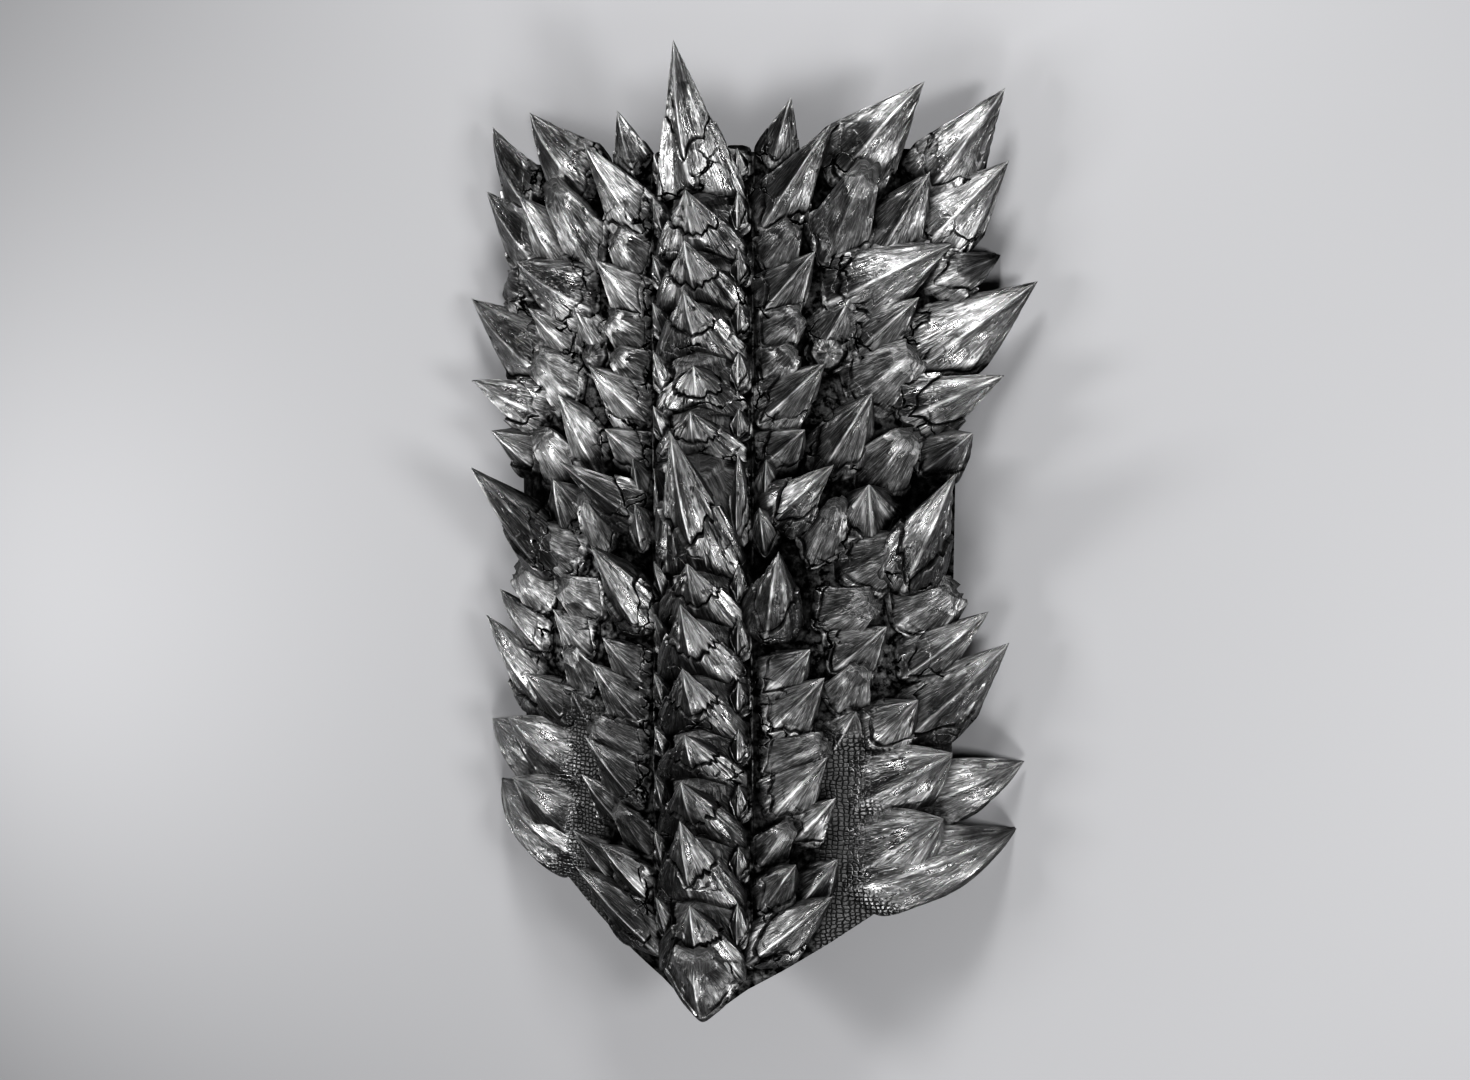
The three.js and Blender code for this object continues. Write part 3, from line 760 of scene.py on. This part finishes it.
def bentPlace(group, vector, repeats, shift):  # the place, moved about by noise so that cells lie crookedly
    bend = addNode(group, "ShaderNodeTexNoise", [("Vector", vector)], Scale=repeats, Detail=3.0)
    move = addNode(group, "ShaderNodeVectorMath", [(0, bend.outputs[1])], operation="SCALE", Scale=shift)
    moved = addNode(group, "ShaderNodeVectorMath", [(0, vector), (1, move.outputs[0])], operation="ADD")
    return moved.outputs[0]


def cellBorders(group, vector, repeats, randomness):  # distance to the border of the nearest cell
    cells = addNode(group, "ShaderNodeTexVoronoi", [("Vector", vector)], feature="DISTANCE_TO_EDGE")
    cells.inputs["Scale"].default_value = repeats
    cells.inputs["Randomness"].default_value = randomness
    return cells.outputs["Distance"]


def hatchGroup():  # the hide's small cells in crooked rows
    group, take, give = newGroup(
        "hideHatch",
        [("Vector", "NodeSocketVector", None)],
        [("Height", "NodeSocketFloat")],
    )
    moved = bentPlace(group, take.outputs[0], *patterns["hideBend"])
    flat = addNode(group, "ShaderNodeMapping", [("Vector", moved)], Scale=patterns["hide"])
    border = cellBorders(group, flat.outputs[0], 1.0, 0.4)
    group.links.new(ramp(group, border, (0.02, 0.0), (0.22, 1.0)), give.inputs["Height"])
    return group


def crackGroup():  # broken hair cracks round uneven fields
    group, take, give = newGroup(
        "hairCracks",
        [("Vector", "NodeSocketVector", None)],
        [("Crack", "NodeSocketFloat")],
    )
    moved = bentPlace(group, take.outputs[0], *patterns["crackBend"])
    line = ramp(group, cellBorders(group, moved, patterns["crack"], 1.0), (0.025, 1.0), (0.06, 0.0))
    links = [("Vector", take.outputs[0])]
    some = addNode(group, "ShaderNodeTexNoise", links, Scale=patterns["crackRuns"], Detail=2.0)
    here = ramp(group, some.outputs[0], (0.46, 0.0), (0.54, 1.0))
    group.links.new(mathNode(group, "MULTIPLY", line, here), give.inputs["Crack"])
    return group


groups = {"streak": streakGroup(), "pit": pitGroup(), "hatch": hatchGroup(), "crack": crackGroup()}


def useGroup(tree, key, vector):
    node = tree.nodes.new("ShaderNodeGroup")
    node.node_tree = groups[key]
    tree.links.new(vector, node.inputs["Vector"])
    return node


def mixed(tree, share, first, second):  # one tone or value over another, by a share
    node = addNode(tree, "ShaderNodeMix", data_type="RGBA")
    tree.links.new(share, node.inputs[0])
    for socket, value in ((node.inputs[6], first), (node.inputs[7], second)):
        if isinstance(value, float):
            socket.default_value = (value, value, value, 1)
        else:
            tree.links.new(value, socket)
    return node.outputs[2]


# what every iron finish shares
iron = {
    "duller": 0.07,      # change of roughness from patch to patch
    "glossier": 0.05,
    "wornRough": 0.45,
    "darkRough": 0.8,
    "rootStreaks": 0.25,  # heights of the patterns, as shares of the bump
    "bladeKnots": 0.12,
    "pits": 0.12,
    "hideCells": 0.7,
}


# Iron with worn bright keels that also paint highlights, streaked facets with painted sheen patches, pitted
# dark roots, celled hide and painted shade.
def ironMaterial(name, finish):
    material = bpy.data.materials.new(name)
    material.use_nodes = True
    tree = material.node_tree
    tree.nodes.clear()
    out = tree.nodes.new("ShaderNodeOutputMaterial")
    shader = tree.nodes.new("ShaderNodeBsdfPrincipled")
    tree.links.new(shader.outputs[0], out.inputs[0])
    shader.inputs["Metallic"].default_value = finish["metal"]
    place = tree.nodes.new("ShaderNodeTexCoord").outputs["Object"]
    grain = addNode(tree, "ShaderNodeUVMap", uv_map="grain").outputs[0]
    masks = {}
    for look in ("worn", "dark", "rooty", "split", "hide"):
        masks[look] = addNode(tree, "ShaderNodeAttribute", attribute_name=look).outputs["Fac"]
    streaks = useGroup(tree, "streak", grain)
    streak, patch = streaks.outputs["Streak"], streaks.outputs["Patch"]
    pits = useGroup(tree, "pit", place)
    pit, knot = pits.outputs["Pit"], pits.outputs["Knot"]
    cells = useGroup(tree, "hatch", place).outputs["Height"]
    crack = useGroup(tree, "crack", place).outputs["Crack"]
    low, mid, high = finish["low"], finish["mid"], finish["high"]

    # tone: streaked facets with painted sheen patches, pitted roots, hide, then worn lines that also paint
    # highlights, and painted shade in hollows and cracks
    facet = ramp(tree, streak, (0.38, mid * 0.6), (0.52, mid * 1.2), (0.66, high))
    root = ramp(tree, knot, (0.42, low * 0.1), (0.48, mid * 0.9), (0.68, mid * 3))
    # random patches of the facets painted bright as sheen
    paintedSheen = ramp(tree, patch, (0.44, 0.0), (0.56, 0.07), (0.72, 0.35))
    facet = mixed(tree, paintedSheen, facet, finish["paintedSheen"])
    tone = mixed(tree, masks["rooty"], facet, root)
    hideTone = ramp(tree, cells, (0.1, 0.03), (0.8, finish["hide"]))
    hidePart = mathNode(tree, "MULTIPLY", masks["hide"], masks["rooty"])
    tone = mixed(tree, hidePart, tone, hideTone)
    # worn lines, broken by the patches, painted bright as wear and highlight
    wornAndSheenPart = mathNode(tree, "MULTIPLY", masks["worn"], ramp(tree, patch, (0.36, 0.1), (0.6, 1.0)))
    tone = mixed(tree, wornAndSheenPart, tone, finish["worn"])
    # painted shade from the mask, broken by knots, with the dark hair cracks
    shadeAndCrackPart = mathNode(tree, "MULTIPLY", masks["dark"], ramp(tree, knot, (0.35, 1.0), (0.7, 0.7)))
    cracked = mathNode(tree, "MULTIPLY", crack, masks["split"])
    cracked = mathNode(tree, "MULTIPLY", cracked, mathNode(tree, "SUBTRACT", 1.0, masks["hide"]))
    shadeAndCrackPart = mathNode(tree, "MAXIMUM", shadeAndCrackPart, cracked)
    tone = mixed(tree, shadeAndCrackPart, tone, finish["dark"])
    tree.links.new(tone, shader.inputs["Base Color"])

    rough = finish["rough"]
    gloss = ramp(tree, patch, (0.32, rough + iron["duller"]), (0.68, rough - iron["glossier"]))
    gloss = mixed(tree, masks["worn"], gloss, iron["wornRough"])
    gloss = mixed(tree, shadeAndCrackPart, gloss, iron["darkRough"])
    tree.links.new(gloss, shader.inputs["Roughness"])

    # height: streaks on the blade, knots on the root, pits, the hide's cells and hair cracks
    blade = mathNode(tree, "SUBTRACT", 1.0, masks["rooty"])
    height = mathNode(tree, "MULTIPLY", streak, mathNode(tree, "ADD", blade, iron["rootStreaks"]))
    knotPart = mathNode(tree, "ADD", masks["rooty"], iron["bladeKnots"])
    height = mathNode(tree, "ADD", height, mathNode(tree, "MULTIPLY", knot, knotPart))
    height = mathNode(tree, "ADD", height, mathNode(tree, "MULTIPLY", pit, iron["pits"]))
    hideHeight = mathNode(tree, "MULTIPLY", mathNode(tree, "MULTIPLY", cells, hidePart), iron["hideCells"])
    height = mathNode(tree, "ADD", height, hideHeight)
    height = mathNode(tree, "SUBTRACT", height, cracked)
    bump = addNode(tree, "ShaderNodeBump", [("Height", height)], Strength=1.0)
    bump.inputs["Distance"].default_value = finish["bump"] * mm
    tree.links.new(bump.outputs[0], shader.inputs["Normal"])
    return material


finishes = {
    "spine": {"low": 0.02, "mid": 0.11, "high": 0.36, "worn": 0.62, "dark": 0.0005, "rough": 0.28,
              "metal": 1.0, "bump": 1.25, "hide": 0.1, "paintedSheen": 0.85},
    "scales": {"low": 0.02, "mid": 0.09, "high": 0.32, "worn": 0.62, "dark": 0.0005, "rough": 0.28,
               "metal": 1.0, "bump": 1.25, "hide": 0.1, "paintedSheen": 0.85},
    "wall": {"low": 0.02, "mid": 0.05, "high": 0.12, "worn": 0.5, "dark": 0.0005, "rough": 0.42,
             "metal": 1.0, "bump": 1.2, "hide": 0.12, "paintedSheen": 0.12},
    "grip": {"low": 0.05, "mid": 0.12, "high": 0.25, "worn": 0.6, "dark": 0.01, "rough": 0.42,
             "metal": 0.85, "bump": 0.8, "hide": 0.1, "paintedSheen": 0.25},
}
metals = {name: ironMaterial(name + "Iron", finish) for name, finish in finishes.items()}
print("materials ready")


def label(i):
    return str(i + 1).zfill(2)


# spine scutes, in shares of their length and half width, and millimetres for rises
scute = {
    "tall": 100,         # longer ones have the tall thorn
    "tailTaper": 0.6,
    "bed": {"middle": 0.5, "wider": 4, "long": 1.08, "crest": 0.72, "rise": 11, "taper": 0.5},
    "thorn": {"middle": 0.4, "wide": 1.9, "long": 0.98},
    "peak": {"across": 0.8, "middle": 0.45, "wide": 0.45, "long": 0.7},
    "peakTip": {"across": 0.86, "along": (0.8, 1), "rise": 27},
    "open": 0.6,         # share of the hollows' shade that their raised place does without
}


# A spine scute: a keeled thorn with a broad grooved root block, on a low bed with a small peak on each
# shoulder. The last one is a flat tail.
def scuteSurface(row, seed, last):
    foot, head, half, footRise, tipAlong, tipRise = row
    long = head - foot
    if last:
        main = (0, (foot + head) / 2, 2 * half, long, 0, tipAlong, tipRise, scute["tailTaper"])
        return spikeSurface(main, seed, "tail", edge=6, foot=footRise, block=0.5, keel=1.2)
    bed, thorn, peak, tip = scute["bed"], scute["thorn"], scute["peak"], scute["peakTip"]
    bedRow = (0, foot + bed["middle"] * long, 2 * half + bed["wider"], bed["long"] * long,
              0, foot + bed["crest"] * long, bed["rise"], bed["taper"])
    thornRow = (0, foot + thorn["middle"] * long, thorn["wide"] * half, thorn["long"] * long,
                0, tipAlong, tipRise, 1)
    kind = "tallSpine" if long > scute["tall"] else "spine"
    pick = np.random.default_rng(seed)
    parts = [
        spikeSurface(bedRow, seed, "bed", edge=7, block=0.6, keel=0, fine=0.5),
        spikeSurface(thornRow, seed + 1, kind, edge=9, foot=footRise, block=1.3, keel=1.3, root=(2, 8)),
    ]
    for side in (-1, 1):
        peakRow = (side * half * peak["across"], foot + peak["middle"] * long,
                   half * peak["wide"], peak["long"] * long,
                   side * half * tip["across"], foot + pick.uniform(*tip["along"]) * long, tip["rise"], 1)
        parts.append(spikeSurface(peakRow, seed + 5 + side, "small", edge=9, block=0.5, fine=0.6))
    return {**joined(parts), "open": scute["open"]}


# seams beside the spine, sizes in millimetres
bead = {
    "across": 66,
    "wide": 5,
    "rise": 8,
    "from": 484,
    "to": -530,
    "uneven": 0.35,      # change of its girth, and the stretch between changes
    "unevenSize": 11,
    "wander": 0.8,       # sideways drift, and the stretch between drifts
    "wanderSize": 45,
    "open": 0.6,
    "stations": 220,
    "points": 12,
}


# A seam is a thin uneven round bead, carried down the face.
def beadSurface(side):
    y = np.linspace(bead["from"], bead["to"], bead["stations"])[:, None]
    angle = np.linspace(0, 2 * np.pi, bead["points"], endpoint=False)[None, :]
    uneven = 1 + bead["uneven"] * noise(y / bead["unevenSize"], side, angle, 61)
    middle = side * (bead["across"] + bead["wander"] * noise(y / bead["wanderSize"], side, 0, 62))
    x = middle + bead["wide"] / 2 * uneven * np.cos(angle)
    rise = bead["rise"] / 2 * (1 + uneven * np.sin(angle)) - 1
    points = overWall(x, y + 0 * x, rise)
    grid = np.ones_like(x)
    # an even painted shade on the whole bead
    looks = {"worn": 0 * grid, "dark": 0.2 * grid, "rooty": grid, "split": 0 * grid}
    uv = np.stack([x, y + 0 * x], -1) * mm
    tube = closedTube(points, points[0].mean(0), points[-1].mean(0), uv, looks)
    return {**tube, "open": bead["open"]}


# knob on each flank, sizes in millimetres
knob = {
    "plate": 4,
    "shift": (5, 9),     # from the root of the row it stands on
    "wide": 40,
    "uneven": 0.07,
    "gnarl": 1.2,
    "gnarlSize": 9,
    "points": 56,
    "rings": 36,
    "profile": [  # share of the half width, rise
        (1.5, -4), (1.44, 3), (1.3, 8), (1.14, 8), (1.05, 1),
        (0.98, 2.5), (0.86, 9), (0.5, 13), (0.05, 14.5),
    ],
}


# The knob: a round dome inside a collar, with a ring groove between, turned from one profile.
def knobSurface(row, seed):
    shares, rises = np.array(knob["profile"]).T
    t = np.linspace(0, len(shares) - 1, knob["rings"])[:, None]
    angle = np.linspace(0, 2 * np.pi, knob["points"], endpoint=False)[None, :]
    share = np.interp(t, np.arange(len(shares)), shares)
    lumps = noise(2 * np.cos(angle), 2 * np.sin(angle), seed, 91)
    half = knob["wide"] / 2 * (1 + knob["uneven"] * lumps)
    x = row[0] + knob["shift"][0] + half * share * np.cos(angle)
    y = row[1] + knob["shift"][1] + half * share * np.sin(angle)
    gnarl = knob["gnarl"] * layeredNoise(x / knob["gnarlSize"], y / knob["gnarlSize"], 0, seed, 3)
    rise = np.interp(t, np.arange(len(shares)), rises) + gnarl * smooth(t, 1, 2)
    points = overWall(x, y, rise)
    grid = np.ones_like(x)
    # a worn ring on the dome's shoulder, as wear and painted highlight, and painted shade in the groove
    # round the dome
    looks = {
        "worn": 0.3 * np.exp(-((share - 0.84) / 0.08) ** 2) * grid,
        "dark": np.exp(-((share - 1.04) / 0.08) ** 2) * grid,
        "rooty": smooth(share, 0.9, 1.1) * grid,
        "split": 0.3 * grid,
    }
    grain = half * angle + scale["grainStep"] * seed + 0 * x
    inward = knob["wide"] * (shares[0] - share) + scale["grainStart"][1] + 0 * x
    uv = np.stack([grain, inward], -1) * mm
    base = overWall(np.array(x[0].mean()), y[0].mean(), -scale["sunk"])
    return closedTube(points, base, points[-1].mean(0), uv, looks)


def plainScale(row, seed):  # blunt scales have a lower keel
    return spikeSurface(row, seed, keel=1.0 if row[-1] == 1 else scale["bluntKeel"])


# the lowest flank plates are broad leaves whose roots run out into the hide
leafPlates = {
    "from": 10,
    "build": {"edge": 2, "block": 0.1, "keel": 0.4, "fat": 1.4, "root": (8, 60)},
}


def flankScale(i, row, isFirst, seed):  # a knob, a leaf or a plain scale
    if i == knob["plate"] and isFirst:
        return knobSurface(row, seed)
    if i >= leafPlates["from"]:
        return spikeSurface(row, seed, **leafPlates["build"])
    return plainScale(row, seed)


built = {}
ground = [wallSurface(), beadSurface(-1), beadSurface(1)]
for i, row in enumerate(scutes):
    built["spineScute" + label(i)] = scuteSurface(row, 200 + 7 * i, i == len(scutes) - 1)
seed = 0
for family, plates in (("inner", innerPlates), ("flank", flankPlates)):
    for i, plate in enumerate(plates):
        parts = []
        for row in plate:
            seed += 1
            if family == "flank":
                parts.append(flankScale(i, row, row is plate[0], seed))
            else:
                parts.append(plainScale(row, seed))
        built[family + "ScalesRight" + label(i)] = joined(parts)
        built[family + "ScalesLeft" + label(i)] = mirrored(joined(parts))
print("surfaces made:", len(built))
# paint shade into every piece's hollows, from all pieces at once
paintShadeInHollows(ground + list(built.values()))
print("hollows darkened")

addPiece("wall", joined(ground), metals["wall"], "wall", "shell")
addPiece("handGrip", gripSurface(), metals["grip"], "grip", "grip")
for name, part in built.items():
    number = name[-2:]
    if name.startswith("spine"):
        addPiece(name, part, metals["spine"], "spine", "spine_scute_" + number)
    else:
        side = "right" if "Right" in name else "left"
        addPiece(name, part, metals["scales"], "scales", name[:5] + "_scales_" + side + "_" + number)
print("pieces placed")


# the camera looks down on the shield from its right, with the shield's top toward the top of the picture
view = {
    "place": (0.78976, 0.1706, 1.9874),
    "aim": (-0.01096, 0.00295, 0),
    "lens": 35,
    "sensor": 32,
}
cameraData = bpy.data.cameras.new("camera")
cameraData.lens = view["lens"]
cameraData.sensor_width = view["sensor"]
cameraData.sensor_fit = "HORIZONTAL"
camera = bpy.data.objects.new("camera", cameraData)
ahead = (Vector(view["aim"]) - Vector(view["place"])).normalized()
right = ahead.cross(Vector((0, 1, 0))).normalized()
turned = Matrix([right, right.cross(ahead), -ahead]).transposed()
camera.matrix_world = Matrix.Translation(view["place"]) @ turned.to_4x4()
bpy.context.scene.collection.objects.link(camera)
bpy.context.scene.camera = camera

stage = {
    "floorTone": (0.28, 0.28, 0.287, 1),
    "floorRough": 0.8,
    "floorReach": 8.0,
    "sky": (0.5, 0.5, 0.52, 1),
    "skyPower": 0.06,
    "transform": "Standard",
    "look": "High Contrast",
}
floorMaterial = bpy.data.materials.new("paleFloor")
floorMaterial.use_nodes = True
floorShader = floorMaterial.node_tree.nodes["Principled BSDF"]
floorShader.inputs["Base Color"].default_value = stage["floorTone"]
floorShader.inputs["Roughness"].default_value = stage["floorRough"]
floorMesh = bpy.data.meshes.new("floor")
far = stage["floorReach"]
floorCorners = [(-far, -far, 0), (far, -far, 0), (far, far, 0), (-far, far, 0)]
floorMesh.from_pydata(floorCorners, [], [(0, 1, 2, 3)])
floorMesh.materials.append(floorMaterial)
floor = bpy.data.objects.new("floor", floorMesh)
bpy.context.scene.collection.objects.link(floor)

lamps = {  # place, aimed at, size, power
    "key": ((1.7, -0.2, 1.45), (0, 0.1, 0.1), 0.5, 33),
    "top": ((0.2, 1.9, 1.1), (0, 0.2, 0.1), 0.5, 40),
    "left": ((-1.6, -0.15, 1.2), (0, -0.1, 0.1), 0.5, 26),
    "low": ((0.5, -1.7, 1.3), (0, -0.2, 0.1), 0.6, 20),
}
for name, (place, aim, size, power) in lamps.items():
    lamp = bpy.data.lights.new(name, "AREA")
    lamp.size = size
    lamp.energy = power
    holder = bpy.data.objects.new(name, lamp)
    holder.location = place
    holder.rotation_euler = (Vector(aim) - Vector(place)).to_track_quat("-Z", "Y").to_euler()
    bpy.context.scene.collection.objects.link(holder)

sky = bpy.data.worlds.new("studio")
sky.use_nodes = True
sky.node_tree.nodes["Background"].inputs[0].default_value = stage["sky"]
sky.node_tree.nodes["Background"].inputs[1].default_value = stage["skyPower"]
bpy.context.scene.world = sky
bpy.context.scene.view_settings.view_transform = stage["transform"]
bpy.context.scene.view_settings.look = stage["look"]
print("camera, floor and lamps ready")
